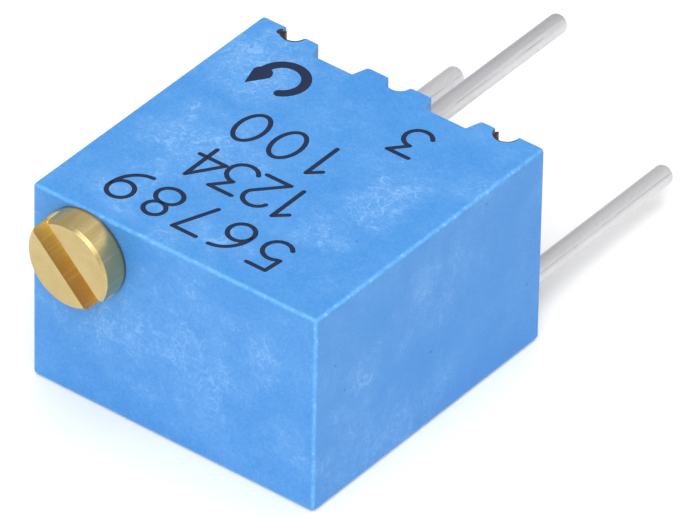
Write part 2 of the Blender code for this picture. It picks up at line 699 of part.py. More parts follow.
def straight_wire(start, end, x, height, radius):
    """A wire along Y, with a rounded tip at its end."""
    shank = end - start - PIN_TIP_ROUND
    tip = arc(PIN_TIP_ROUND, pi / 2, 0, CORNER_STEPS, (shank, radius - PIN_TIP_ROUND))
    return turned([(0, radius), *tip], WIRE_SEGMENTS, (x, start, height), (0, 1, 0))


def outer_wire(column, grown=0.0):
    """An outer terminal: along the lower row, then up behind the ceramic. grown makes
    it thicker all round, to cut its own seat."""
    x = column * PIN_PITCH
    bend_y = RISER_Y + PIN_BEND_RADIUS
    bm = straight_wire(bend_y, OUTER_PIN_TIP, x, LOWER_PIN_HEIGHT, PIN_RADIUS + grown)
    run_end = min(bm.faces, key=lambda face: face.calc_center_median().y)
    bent = bmesh.ops.spin(
        bm,
        geom=[run_end],
        cent=(x, bend_y, LOWER_PIN_HEIGHT + PIN_BEND_RADIUS),
        axis=(1, 0, 0),
        angle=-pi / 2,
        steps=BEND_STEPS,
    )["geom_last"]
    bmesh.ops.delete(bm, geom=[run_end], context="FACES_ONLY")
    bend_end = next(item for item in bent if isinstance(item, bmesh.types.BMFace))
    rise = RISER_TOP + grown - LOWER_PIN_HEIGHT - PIN_BEND_RADIUS
    lengthen(bm, bend_end, (0, 0, rise))
    return bm


def middle_wire(grown=0.0):
    """The middle terminal: straight, over the collector's lead."""
    start = MIDDLE_PIN_START - grown
    return straight_wire(start, MIDDLE_PIN_TIP, 0, UPPER_PIN_HEIGHT, PIN_RADIUS + grown)


def wire(number, grown=0.0):
    """Terminal 1, 2 or 3, in the order of their columns along X."""
    return middle_wire(grown) if number == 2 else outer_wire(number - 2, grown)


def solder_mound(number, grown=0.0):
    """The drop of solder over a terminal's joint with its pad."""
    if number == 2:
        centre = (0, SUBSTRATE_BACK - PIN_RADIUS, UPPER_PIN_HEIGHT)
    else:
        centre = ((number - 2) * PIN_PITCH, RISER_Y - SOLDER_AHEAD_OF_RISER, FILM_TOP)
    bm = bmesh.new()
    bmesh.ops.create_uvsphere(bm, u_segments=MOUND_SEGMENTS, v_segments=MOUND_RINGS, radius=1)
    size = [half / 2 + grown for half in (SOLDER_WIDTH, SOLDER_LENGTH, SOLDER_HEIGHT)]
    bmesh.ops.scale(bm, vec=size, verts=bm.verts)
    bmesh.ops.translate(bm, vec=centre, verts=bm.verts)
    return bm


def substrate_seat():
    """The space of the ceramic and its prints, with a gap round it."""
    half = 2 * BODY_WIDTH
    return box(
        (-half, -BEYOND, SUBSTRATE_BOTTOM - SEAT_GAP),
        (half, SUBSTRATE_BACK + SEAT_GAP, FILM_TOP + SEAT_GAP),
    )


def make_terminals():
    tinned = material("tinned_wire", (0.62, 0.62, 0.63), 0.38, 1.0)
    solder = material("solder_alloy", (0.66, 0.66, 0.66), 0.3, 1.0)
    for number in (1, 2, 3):
        terminal = finish(f"terminal_{number}", wire(number))
        terminal.data.materials.append(tinned)
        mound = finish(f"solder_{number}", solder_mound(number))
        mound.data.materials.append(solder)
        cut(mound, f"solder_{number}_wire_seat", wire(number, SEAT_GAP))
        cut(mound, f"solder_{number}_plate_seat", substrate_seat())


def make_barrier():
    """The wall behind the wheel, with the bearing of the screw's rear journal."""
    half = INNER_HALF_WIDTH - SEAT_GAP
    wall = box(
        (-half, BARRIER_FRONT, FILM_TOP + SEAT_GAP), (half, BARRIER_BACK, CEILING - SEAT_GAP)
    )
    barrier = finish("inner_barrier", wall)
    barrier.data.materials.append(material("barrier_moulding", (0.10, 0.12, 0.15), 0.5))
    boss_end = BARRIER_BACK - SEAT_GAP
    join(barrier, "bearing_boss", along_screw(CHANNEL_RADIUS - SEAT_GAP, BOSS_FRONT, boss_end))
    hole_end = BOSS_FRONT + REAR_JOURNAL_DEPTH + RUNNING_CLEARANCE
    hole = along_screw(SHAFT_RADIUS + RUNNING_CLEARANCE, INNER_FRONT, hole_end)
    cut(barrier, "journal_hole", hole)


def creep(side):
    """A crescent of resin that has crept into an outer notch of the roof."""
    x = side * PIN_PITCH
    radius = NOTCH_RADIUS - SEAT_GAP
    wall_side = arc(radius, CREEP_START, CREEP_END, BORE_SEGMENTS // 2, (x, FOOT_FACE))
    free_centre = (x + CREEP_SIDEWAYS, FOOT_FACE + CREEP_OUTWARDS)
    free_side = arc(radius, CREEP_END, CREEP_START, BORE_SEGMENTS // 2, free_centre)
    low = CEILING - ROOF_WALL / 2
    return prism(wall_side + free_side, low, BODY_HEIGHT - CREEP_BELOW_ROOF)


def meniscus(side):
    """The curved fillet of resin under the roof, from the resin's surface out to the
    creep in the notch."""
    x = side * PIN_PITCH
    top = CEILING - SEAT_GAP
    low = top - MENISCUS_DEPTH
    tip = SEATING - MENISCUS_BEFORE_FEET
    run = tip - POTTING_SURFACE
    rise = MENISCUS_DEPTH - MENISCUS_LIP
    curve = [
        (POTTING_SURFACE + run * (1 - along), low + rise * up)
        for along, up in arc(1, 0, pi / 2, CORNER_STEPS)
    ]
    inside = POTTING_SURFACE - NOTCH_RADIUS
    outline = [(inside, top), (inside, low), *curve, (tip, top)]
    return prism(outline, x - NOTCH_RADIUS, x + NOTCH_RADIUS, "X")


def make_potting():
    """Sealing resin: under the ceramic and behind it and the barrier."""
    half = INNER_HALF_WIDTH - SEAT_GAP
    fill = box(
        (-half, INNER_FRONT + SEAT_GAP, FLOOR_WALL + SEAT_GAP),
        (half, POTTING_SURFACE, CEILING - SEAT_GAP),
    )
    potting = finish("potting_compound", fill)
    potting.data.materials.append(material("dark_resin", (0.03, 0.025, 0.02), 0.35))
    chamber_end = BARRIER_BACK + SEAT_GAP
    wide = 2 * BODY_WIDTH
    chamber = box((-wide, -BEYOND, SUBSTRATE_MIDDLE), (wide, chamber_end, BEYOND))
    cut(potting, "wheel_chamber", chamber)
    cut(potting, "plate_seat", substrate_seat())
    ledge_side = INNER_HALF_WIDTH - LEDGE_WIDTH - SEAT_GAP
    for side in (-1, 1):
        bm = box((ledge_side, -BEYOND, -BEYOND), (wide, chamber_end, SUBSTRATE_MIDDLE))
        bmesh.ops.scale(bm, vec=(side, 1, 1), verts=bm.verts)
        cut(potting, f"ledge_space_{side}", bm)
    groove_fill = along_screw(
        CHANNEL_RADIUS - SEAT_GAP, chamber_end + SEAT_GAP, POTTING_SURFACE - SEAT_GAP
    )
    join(potting, "channel_fill", groove_fill)
    for side in (-1, 1):
        join(potting, f"meniscus_{side}", meniscus(side))
        join(potting, f"creep_{side}", creep(side))
    for number in (1, 2, 3):
        cut(potting, f"wire_seat_{number}", wire(number, SEAT_GAP))
        cut(potting, f"solder_seat_{number}", solder_mound(number, SEAT_GAP))


def main():
    clear_scene()
    make_housing()
    make_screw()
    make_ring()
    make_clip()
    make_wheel()
    make_contact()
    make_substrate()
    make_prints()
    make_terminals()
    make_barrier()
    make_potting()


main()
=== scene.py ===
"""Looks of a multi-turn trimming potentiometer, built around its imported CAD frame."""

import math

import bmesh
import bpy
from bpy.props import FloatProperty, FloatVectorProperty, PointerProperty, StringProperty
from mathutils import Matrix, Vector


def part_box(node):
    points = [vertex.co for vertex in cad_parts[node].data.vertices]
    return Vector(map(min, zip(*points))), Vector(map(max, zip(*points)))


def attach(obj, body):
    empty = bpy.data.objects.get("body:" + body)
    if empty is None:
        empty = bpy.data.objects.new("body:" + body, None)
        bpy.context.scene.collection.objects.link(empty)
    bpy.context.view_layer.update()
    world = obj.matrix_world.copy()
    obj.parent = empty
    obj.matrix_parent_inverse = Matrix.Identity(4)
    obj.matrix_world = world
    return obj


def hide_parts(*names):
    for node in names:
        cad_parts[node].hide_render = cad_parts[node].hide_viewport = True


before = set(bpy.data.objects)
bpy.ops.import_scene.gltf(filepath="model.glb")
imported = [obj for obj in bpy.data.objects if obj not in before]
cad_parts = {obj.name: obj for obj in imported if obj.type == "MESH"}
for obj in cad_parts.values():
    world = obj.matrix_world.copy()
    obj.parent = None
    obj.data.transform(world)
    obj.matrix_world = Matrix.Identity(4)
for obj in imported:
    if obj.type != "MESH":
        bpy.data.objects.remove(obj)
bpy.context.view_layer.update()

bl_info = {
    "name": "Trimming potentiometer looks",
    "version": (1, 0, 0),
    "blender": (4, 5, 0),
    "location": "3D View > Sidebar > Trimmer",
    "description": "Finishes, print and studio for a moulded multi-turn trimmer",
    "category": "Object",
}

MM = 0.001

# How far the feet end short of the case's outer ends, and how deep the slot is, in mm.
FOOT_INSET = 0.105
SLOT_DEPTH = 0.42

# Places on the part in mm, from the frame.
CASE_LOW, CASE_HIGH = (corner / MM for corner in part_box("housing"))
SIDE_X = CASE_HIGH.x
FRONT_Y = CASE_LOW.y
TOP_Z = CASE_HIGH.z
FOOT_FACE_Y = CASE_HIGH.y - FOOT_INSET
PIN_LOW, PIN_HIGH = (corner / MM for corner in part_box("terminal_3"))
NOTCH_X = (PIN_LOW.x + PIN_HIGH.x) / 2
SCREW_LOW, SCREW_HIGH = (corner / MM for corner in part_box("adjusting_screw"))
SCREW_X = (SCREW_LOW.x + SCREW_HIGH.x) / 2
SCREW_Z = (SCREW_LOW.z + SCREW_HIGH.z) / 2
SLOT_FLOOR = SCREW_LOW.y + SLOT_DEPTH

# The camera of the photo's view: its place in metres, its three directions, the width of
# its sensor in mm, and the nearest and farthest that it sees, in metres.
CAMERA_PLACE = (0.10567743, -0.13605255, 0.13224141)
CAMERA_RIGHT = (0.78661331, 0.61725101, 0.01551398)
CAMERA_UP = (-0.38166006, 0.46632246, 0.79804697)
CAMERA_BACK = (0.48536078, -0.63367544, 0.60239551)
SENSOR_WIDTH = 36.0
CLIP_RANGE = (0.002, 2.0)

# The soft lights, which look at the part: the place and side of each, in metres.
SOFTBOXES = {
    "key": ((0.185, -0.37, 0.445), 0.50),
    "overhead": ((-0.05, 0.10, 0.60), 0.45),
    "rear": ((0.273, 0.328, 0.294), 0.26),
}

# The floor: its squares each way, how far it lies under the part, in metres, and the
# darker tone of its paper.
FLOOR_SQUARES = 8
FLOOR_GAP = 0.00002
PAPER_SHADE = 0.99


# Shader maths.

# Sockets of the Mix node: its factor, its two colours and the mixed colour.
MIX_FACTOR, MIX_FIRST, MIX_SECOND, MIX_RESULT = 0, 6, 7, 2


class Flow:
    """A socket on its way through a finish; arithmetic on it adds Math nodes."""

    def __init__(self, finish, socket):
        self.finish = finish
        self.socket = socket

    def math(self, operation, *values):
        return self.finish.node("ShaderNodeMath", {"operation": operation}, values)

    def __add__(self, other):
        return self.math("ADD", self, other)

    def __sub__(self, other):
        return self.math("SUBTRACT", self, other)

    def __rsub__(self, other):
        return self.math("SUBTRACT", other, self)

    def __mul__(self, other):
        return self.math("MULTIPLY", self, other)

    def __abs__(self):
        return self.math("ABSOLUTE", self)

    def lower(self, other):
        return self.math("MINIMUM", self, other)

    def higher(self, other):
        return self.math("MAXIMUM", self, other)

    def rise(self, start, end, low=0.0, high=1.0):
        """Goes smoothly from low to high as the value goes from start to end."""
        return self.finish.node(
            "ShaderNodeMapRange",
            {"interpolation_type": "SMOOTHSTEP", "clamp": True},
            {"Value": self, "From Min": start, "From Max": end, "To Min": low, "To Max": high},
        )

    def fall(self, start, end):
        """Goes smoothly from 1 to 0 as the value goes from start to end."""
        return self.rise(start, end, 1.0, 0.0)

    __radd__ = __add__


def highest(flows):
    """The highest of several values at each place."""
    top, *others = flows
    for flow in others:
        top = top.higher(flow)
    return top


class Finish:
    """One procedural material on a Principled shader, in millimetres."""

    def __init__(self, name, **constants):
        self.material = bpy.data.materials.new(name)
        self.material.use_nodes = True
        self.tree = self.material.node_tree
        self.shader = self.tree.nodes["Principled BSDF"]
        self.feed_shader(constants)
        metres = self.node("ShaderNodeTexCoord", {}, {}, "Object")
        self.place = self.vector("SCALE", metres, Scale=1.0 / MM)
        self.x, self.y, self.z = (
            self.node("ShaderNodeSeparateXYZ", {}, [self.place], axis) for axis in range(3)
        )

    def feed(self, socket, value):
        if isinstance(value, Flow):
            self.tree.links.new(value.socket, socket)
        elif socket.type == "RGBA":
            socket.default_value = (*value[:3], 1.0)
        else:
            socket.default_value = value

    def node(self, kind, settings, values, output=0):
        made = self.tree.nodes.new(kind)
        for key, value in settings.items():
            setattr(made, key, value)
        pairs = values.items() if isinstance(values, dict) else enumerate(values)
        for key, value in pairs:
            self.feed(made.inputs[key], value)
        return Flow(self, made.outputs[output])

    def vector(self, operation, *values, **named):
        inputs = dict(enumerate(values), **named)
        output = "Value" if operation in ("DISTANCE", "LENGTH") else "Vector"
        return self.node("ShaderNodeVectorMath", {"operation": operation}, inputs, output)

    def mix(self, factor, first, second):
        """The colour that goes from first to second as the factor goes from 0 to 1."""
        return self.node(
            "ShaderNodeMix",
            {"data_type": "RGBA", "clamp_factor": True},
            {MIX_FACTOR: factor, MIX_FIRST: first, MIX_SECOND: second},
            MIX_RESULT,
        )

    def noise(self, per_mm, detail=2.0, roughness=0.5, place=None, output=0):
        return self.node(
            "ShaderNodeTexNoise",
            {},
            {
                "Vector": place or self.place,
                "Scale": per_mm,
                "Detail": detail,
                "Roughness": roughness,
            },
            output,
        )

    def stretched(self, turn, grain, start=(0.0, 0.0, 0.0), place=None):
        """The place turned and divided by a grain size, for streaks that run along it."""
        return self.node(
            "ShaderNodeMapping",
            {"vector_type": "TEXTURE"},
            {
                "Vector": place or self.place,
                "Location": start,
                "Rotation": [math.radians(angle) for angle in turn],
                "Scale": grain,
            },
        )

    def near(self, spot, inner, outer):
        """1 within the inner radius of a spot, down to 0 at the outer one."""
        return self.vector("DISTANCE", self.place, spot).fall(inner, outer)

    def specks(self, per_mm, inner, outer, place=None):
        """1 within the inner radius of scattered points, in cells, down to 0 at the outer."""
        cells = self.node(
            "ShaderNodeTexVoronoi",
            {"feature": "F1"},
            {"Vector": place or self.place, "Scale": per_mm},
        )
        return cells.fall(inner, outer)

    def feed_shader(self, inputs):
        for key, value in inputs.items():
            self.feed(self.shader.inputs[key.replace("_", " ")], value)

    def finish(self, depth, height, **inputs):
        """Feeds the shader, with a Bump node of a given depth in mm."""
        bump = self.node(
            "ShaderNodeBump", {}, {"Strength": 1.0, "Distance": depth * MM, "Height": height}
        )
        self.feed_shader({**inputs, "Normal": bump})
        return self.material


# Finishes.

# Chalky rubbed areas: the middle in mm, turn in degrees, reach each way in mm, strength.
RUBBED = (
    ((-1.9, -0.7, TOP_Z), (0, 0, 20), (2.2, 3.3, 1.0), 0.64),
    ((-1.9, -2.7, TOP_Z), (0, 0, 0), (1.7, 1.0, 1.0), 0.60),
    ((-0.8, -0.2, TOP_Z), (0, 0, 0), (1.4, 1.3, 1.0), 0.52),
    ((2.05, 0.35, TOP_Z), (0, 0, 8), (1.25, 2.4, 1.0), 0.82),
    ((1.9, -1.3, TOP_Z), (0, 0, -30), (1.4, 1.1, 1.0), 0.70),
    ((0.6, -2.6, TOP_Z), (0, 0, 0), (2.4, 1.1, 1.0), 0.58),
    ((-2.4, 2.2, TOP_Z), (0, 0, 0), (1.9, 2.4, 1.0), 0.88),
    ((3.0, 1.7, TOP_Z), (0, 0, 0), (0.9, 1.4, 1.0), 0.55),
    ((-0.4, FRONT_Y, 2.3), (0, 0, 0), (5.2, 1.0, 3.2), 0.55),
    ((-0.6, FRONT_Y, 2.6), (0, 12, 0), (3.4, 1.0, 1.8), 0.56),
    ((0.9, FRONT_Y, 2.0), (0, 25, 0), (1.6, 1.0, 0.7), 0.66),
    ((-1.6, FRONT_Y, 2.0), (0, 0, 0), (1.4, 1.0, 1.0), 0.66),
    ((-0.2, FRONT_Y, 1.0), (0, 0, 0), (2.6, 1.0, 1.0), 0.44),
    ((2.0, FRONT_Y, 3.1), (0, 40, 0), (1.7, 1.0, 1.1), 0.66),
    ((2.4, FRONT_Y, 1.1), (0, 0, 0), (1.3, 1.0, 1.2), 0.45),
    ((SIDE_X, -0.1, 3.1), (20, 0, 0), (1.0, 3.2, 1.2), 0.50),
    ((SIDE_X, -2.1, 2.4), (0, 0, 0), (1.0, 0.9, 1.0), 0.64),
    ((SIDE_X, 0.4, 2.6), (60, 0, 0), (1.0, 1.2, 0.8), 0.55),
    ((SIDE_X, -1.4, 1.4), (0, 0, 0), (1.0, 1.6, 1.0), 0.30),
    ((-SIDE_X, -0.5, 2.6), (-15, 0, 0), (1.0, 3.0, 1.3), 0.60),
    ((-SIDE_X, 1.6, 1.4), (0, 0, 0), (1.0, 1.5, 1.0), 0.55),
    ((0.5, -1.0, 0.0), (0, 0, 25), (2.8, 1.8, 1.0), 0.55),
)

# Turn in degrees, length and width in mm of each family of rubbed strokes.
STROKES = (
    ((0, 15, 28), 0.38, 0.048),
    ((10, 70, 75), 0.33, 0.052),
    ((0, -30, 118), 0.42, 0.044),
    ((20, -70, 160), 0.30, 0.054),
)

# How many loose loops of rubbed line there are in a mm, for each size of loop.
LOOPS_PER_MM = (1.7, 2.6, 3.7)

# Dark patches round the outer notches: a point on the roof and its reach, in mm.
NOTCH_DARK_SPOTS = (
    ((-NOTCH_X, FOOT_FACE_Y, TOP_Z), 0.290),
    ((NOTCH_X, FOOT_FACE_Y, TOP_Z), 0.280),
    ((-NOTCH_X - 0.23, FOOT_FACE_Y - 0.13, TOP_Z), 0.085),
)


def rubbed_webs(f, bent):
    """Fine crossing strokes and broken loops: 1 on a line, 0 beside it."""
    webs = []
    for number, (turn, length, width) in enumerate(STROKES):
        start = (3.1 * number, 1.7 * number, 2.3 * number)
        strokes = f.stretched(turn, (length, width, width), start, bent)
        webs.append(f.noise(1.0, 1.0, place=strokes).rise(0.63, 0.73))
    for number, per_mm in enumerate(LOOPS_PER_MM):
        start = (5.3 + number, 2.9, 7.1 * number)
        shifted = f.stretched((0, 0, 35 * number), (1, 1, 1), start)
        loops = abs(f.noise(per_mm, 1.5, place=shifted) - 0.5).fall(0.006, 0.040)
        broken = f.noise(per_mm * 1.6, 1.0, place=bent).rise(0.53, 0.62)
        webs.append(loops * broken)
    return highest(webs)


def rubbed_patches(f):
    """How hard each place is rubbed: the chalky areas, and a little in other places."""
    patches = [f.noise(0.42, 2.0, 0.5).rise(0.46, 0.72) * 0.45]
    for middle, turn, reach, strength in RUBBED:
        away = f.vector("LENGTH", f.stretched(turn, reach, middle))
        patches.append(away.fall(0.0, 1.0) * strength)
    return highest(patches)


def case_corners(f):
    """1 where two faces meet, down to 0 a little way in, at all but the pin side's edges."""
    side = SIDE_X - abs(f.x)
    end = f.y - FRONT_Y
    level = f.z.lower(TOP_Z - f.z)
    second_nearest = side.lower(end).higher(side.higher(end).lower(level))
    return second_nearest.fall(0.015, 0.09)


def notch_dark_patches(f):
    """Dark patches on the roof at the outer notches, kept short of the feet's ends, with a ragged
    edge.
    """
    blots = highest([f.near(spot, reach * 0.9, reach * 1.1) for spot, reach in NOTCH_DARK_SPOTS])
    blots = blots * f.y.fall(FOOT_FACE_Y - 0.065, FOOT_FACE_Y + 0.015)
    return (blots + (f.noise(9.0, 3.0, 0.6) - 0.5) * 0.8).rise(0.4, 0.75)


def case_finish(look):
    """Blue glass-filled moulding: fine grain, chalky rubbed webs, pale corners that are partly
    worn and partly a painted highlight.
    """
    f = Finish("blue_moulding_rubbed", IOR=1.5, Specular_IOR_Level=0.38)
    wander = f.vector("SCALE", f.noise(3.0, 2.0, output=1), Scale=0.28)
    bent = f.vector("ADD", f.place, wander)
    webs = rubbed_webs(f, bent)
    patch = rubbed_patches(f)
    uneven = f.noise(1.5, 5.0, 0.7) - 0.5
    broad = f.noise(0.75, 4.0, 0.6).rise(0.34, 0.70)
    area = (patch + uneven * 0.8).rise(0.0, 1.0)
    cluster = (patch + uneven * 1.3).rise(0.26, 0.92)
    soft = f.noise(3.4, 5.0, 0.72).rise(0.32, 0.72)
    flecks = f.noise(9.0, 2.0, 0.6).rise(0.56, 0.74)
    scuff = (cluster * 0.85 + broad * 0.20) * (webs * 0.9 + flecks * 0.3)
    haze = (area + broad * 0.30) * (soft * 0.7 + 0.3)

    corner = case_corners(f)
    ragged = f.noise(4.5, 4.0, 0.7)
    # Pale corners: partly wear and partly a painted highlight of the rounded edges.
    worn_and_highlit = corner * (ragged.rise(0.32, 0.62) * 0.65 + 0.35)
    nicks = corner * f.noise(9.0, 3.0, 0.65).rise(0.56, 0.70)

    mottle = f.noise(0.8, 4.0, 0.6).rise(0.3, 0.7)
    grain = f.noise(24.0, 2.0, 0.6)
    colour = f.mix(mottle, look.shade, look.colour)
    colour = f.mix(grain.rise(0.35, 0.7) * 0.10, colour, look.chalk)
    colour = f.mix(haze * look.haze, colour, look.chalk)
    colour = f.mix(worn_and_highlit * look.edge_wear_and_highlight, colour, look.edge)
    colour = f.mix(scuff * look.scuffs, colour, look.chalk)
    colour = f.mix(nicks * 0.65, colour, look.chalk)
    pits = f.specks(1.15, 0.025, 0.05, bent)
    colour = f.mix(pits * 0.6, colour, look.speck)
    # Dark patches on the roof round the outer notches, which are also glossier.
    notch_dark = notch_dark_patches(f)
    colour = f.mix(notch_dark, colour, look.notch_dark)

    roughness = 0.46 + scuff * 0.2 + grain * 0.08 - notch_dark * 0.2
    height = grain * 0.3 + f.noise(6.0, 3.0) * 0.5 + scuff * 0.5 - pits * 0.6 - nicks * 0.6
    return f.finish(look.grain_depth / MM, height, Base_Color=colour, Roughness=roughness)


def ink_finish(look):
    """Dark matt ink, thinner in specks and patches."""
    f = Finish("dark_ink", IOR=1.45, Specular_IOR_Level=0.2)
    speckle = f.noise(22.0, 3.0, 0.7)
    thin = f.noise(3.0, 3.0).rise(0.55, 0.8)
    colour = f.mix(speckle.rise(0.5, 0.8) * 0.35 + thin * 0.25, look.ink, look.thin_ink)
    return f.finish(0.0015, speckle, Base_Color=colour, Roughness=0.42 + speckle * 0.2)


# Squares of the radii, in mm, between which the slot's colour gives way to the rim's.
SLOT_REACH = (0.80, 0.86)


def brass_finish(look):
    """Turned brass: lathe rings, drawn streaks along the axis, tarnish in patches, a brighter
    ochre slot floor as painted bounce light, browner towards its lower end as painted shade,
    and a painted shadow where the head meets the case."""
    f = Finish("turned_brass")
    streaks = f.noise(1.0, 3.0, 0.6, f.stretched((0, 0, 0), (0.055, 1.6, 0.055)))
    rings = f.noise(1.0, 2.0, 0.5, f.stretched((0, 0, 0), (2.0, 0.02, 2.0)))
    tarnish = f.noise(1.6, 4.0, 0.62).rise(0.42, 0.72)
    fine = f.noise(18.0, 2.0, 0.5)
    flank = f.y.rise(SCREW_LOW.y + 0.02, SCREW_LOW.y + 0.05, 0.25, 1.0)
    colour = f.mix(tarnish * 0.55, look.colour, look.tarnish)
    colour = f.mix(streaks.rise(0.5, 0.72) * flank * 0.35, colour, look.bright)

    # The slot's floor is painted light: a brighter ochre than the brass stands in for light
    # bouncing between its walls, and it turns browner towards the lower right end as painted
    # shade.
    across = f.x - SCREW_X
    up = f.z - SCREW_Z
    inside_rim = (across * across + up * up).fall(*SLOT_REACH)
    floor_level = f.y.rise(SLOT_FLOOR - 0.04, SLOT_FLOOR - 0.005)
    slot = floor_level * inside_rim * f.y.fall(SLOT_FLOOR + 0.05, SLOT_FLOOR + 0.1)
    along_slot_shade = across - up + (f.noise(2.2, 2.0) - 0.5) * 0.5
    floor = f.mix(along_slot_shade.rise(-0.9, 0.9), look.slot, look.slot_end_shade)
    colour = f.mix(slot, colour, floor)

    # Painted shadow: the head's side darkens where it meets the case.
    contact_shade = f.y.rise(FRONT_Y - 0.10, FRONT_Y - 0.03) * f.y.fall(FRONT_Y, FRONT_Y + 0.1)
    colour = f.mix(contact_shade * 0.75, colour, look.painted_contact_shade)
    roughness = 0.24 + tarnish * 0.14 + fine * 0.10 + slot * 0.16
    height = (streaks * 0.5 + rings * 0.3 + fine * 0.08) * (1.0 - slot * 0.97) * flank
    metal = 0.84 - tarnish * 0.10 - slot * 0.24
    return f.finish(0.003, height, Base_Color=colour, Roughness=roughness, Metallic=metal)


# How strongly one flank of each pin is darkened as painted shade, and which way that flank looks
# in x and in z.
PIN_FLANK_SHADE = {"1": 0.25, "2": 0.85, "3": 0.45}
FLANK_SHADE_X, FLANK_SHADE_Z = -0.62, 0.78


def tinned_finish(look, number):
    """Dull tinned wire: drawn lines along it, one flank darkened as painted shade, cloudy oxide,
    a brown hairline.
    """
    f = Finish("dull_tin_" + number)
    low, high = (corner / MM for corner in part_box("terminal_" + number))
    radius = (high.x - low.x) / 2
    # Each pin leaves the case at the bottom of its box.
    up = f.z - (low.z + radius)
    across = f.x - (low.x + radius)
    flank = up * (FLANK_SHADE_Z / radius) + across * (FLANK_SHADE_X / radius)
    drawn = f.noise(1.0, 3.0, 0.6, f.stretched((0, 0, 0), (0.045, 1.6, 0.045)))
    cloud = f.noise(2.4, 4.0, 0.6).rise(0.36, 0.7)
    along = f.noise(1.0, 2.0, 0.5, f.stretched((0, 0, 0), (0.5, 1.1, 0.5))).rise(0.45, 0.6)
    hair = abs(flank + drawn * 0.3 - 0.08).fall(0.02, 0.10) * along
    # Painted shade: the flank of the pin that faces up and towards -X is darkened.
    painted_flank_shade = (flank + (drawn - 0.5) * 0.5).rise(0.0, 0.4)
    colour = f.mix(painted_flank_shade * PIN_FLANK_SHADE[number] + cloud * 0.15, look.colour, look.oxide_and_shade)
    speckle = f.noise(20.0, 2.0, 0.6).rise(0.4, 0.7)
    colour = f.mix(hair * 0.40 + speckle * 0.10, colour, look.hairline)
    roughness = 0.42 + cloud * 0.06 + drawn * 0.10
    height = drawn * 0.8 + f.noise(14.0, 3.0) * 0.2
    metal = 0.72 - cloud * 0.10
    return f.finish(0.003, height, Base_Color=colour, Roughness=roughness, Metallic=metal)


def resin_finish(look):
    """Dark potting resin: glossy, gently pooled, with small bubbles."""
    f = Finish("poured_resin", IOR=1.5, Specular_IOR_Level=0.25)
    pool = f.noise(0.8, 3.0)
    fine = f.noise(12.0, 3.0, 0.6)
    bubbles = f.specks(3.5, 0.05, 0.13)
    colour = f.mix(pool.rise(0.3, 0.75), look.colour, look.thin)
    roughness = 0.28 + pool * 0.14 + fine * 0.10
    height = pool * 2.0 + fine * 0.25 - bubbles * 1.2
    return f.finish(0.012, height, Base_Color=colour, Roughness=roughness)


# Finishes of the pieces inside: two colours, grain in a mm, how much of it each way (less
# makes a streak), roughness, metal, depth in mm.
INSIDE = {
    "black_rubber": ((0.012, 0.012, 0.013), (0.035, 0.034, 0.033), 14, (1, 1, 1), 0.62, 0, 0.004),
    "clip_steel": ((0.46, 0.46, 0.47), (0.62, 0.61, 0.60), 9, (1, 1, 0.12), 0.30, 1, 0.003),
    "wheel_moulding": ((0.70, 0.66, 0.56), (0.82, 0.79, 0.70), 7, (1, 1, 1), 0.48, 0, 0.005),
    "spring_alloy": ((0.60, 0.46, 0.29), (0.72, 0.58, 0.40), 11, (0.1, 1, 1), 0.26, 1, 0.002),
    "alumina": ((0.74, 0.73, 0.70), (0.86, 0.85, 0.82), 20, (1, 1, 1), 0.60, 0, 0.006),
    "cermet_film": ((0.020, 0.022, 0.028), (0.07, 0.075, 0.085), 24, (1, 1, 1), 0.40, 0, 0.003),
    "conductor_film": ((0.50, 0.49, 0.45), (0.68, 0.67, 0.63), 18, (1, 1, 1), 0.36, 1, 0.003),
    "solder_alloy": ((0.50, 0.50, 0.51), (0.70, 0.70, 0.70), 6, (1, 1, 1), 0.24, 1, 0.006),
    "barrier_moulding": ((0.05, 0.05, 0.055), (0.09, 0.09, 0.095), 10, (1, 1, 1), 0.50, 0, 0.005),
}

# The CAD nodes that have each of these finishes.
INSIDE_NODES = {
    "black_rubber": ("screw_o_ring",),
    "clip_steel": ("screw_retaining_clip",),
    "wheel_moulding": ("worm_wheel",),
    "spring_alloy": ("wiper_contact",),
    "alumina": ("ceramic_substrate",),
    "cermet_film": ("resistive_track",),
    "conductor_film": ("collector_ring", "end_pad_1", "end_pad_3"),
    "solder_alloy": ("solder_1", "solder_2", "solder_3"),
    "barrier_moulding": ("inner_barrier",),
}


def inside_finish(slot):
    """The finish of a piece inside: two-tone grain, streaked where it is drawn or rolled."""
    first, second, per_mm, streak, roughness, metal, depth = INSIDE[slot]
    f = Finish(slot + "_worked", Metallic=float(metal))
    grain = f.noise(per_mm, 3.0, 0.6, f.stretched((0, 0, 0), [1 / part for part in streak]))
    cloud = f.noise(1.3, 4.0, 0.6).rise(0.3, 0.7)
    colour = f.mix(cloud * 0.6 + grain.rise(0.35, 0.7) * 0.4, first, second)
    return f.finish(
        depth,
        grain * 0.7 + cloud * 0.3,
        Base_Color=colour,
        Roughness=roughness - 0.06 + grain * 0.12,
    )


# Pieces.

# Points of a CAD node or of the print that are nearer than this become one point, in mm.
NODE_POINTS_APART = 0.0004
PRINT_POINTS_APART = 0.0003


def dress(piece, body, material):
    """Gives a piece its finish, its body and the slot that it takes its finish from."""
    piece.data.materials.clear()
    piece.data.materials.append(material)
    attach(piece, body)


def linked(name, data):
    """A new object of the scene, made from a mesh, curve, light or camera."""
    made = bpy.data.objects.new(name, data)
    bpy.context.scene.collection.objects.link(made)
    return made


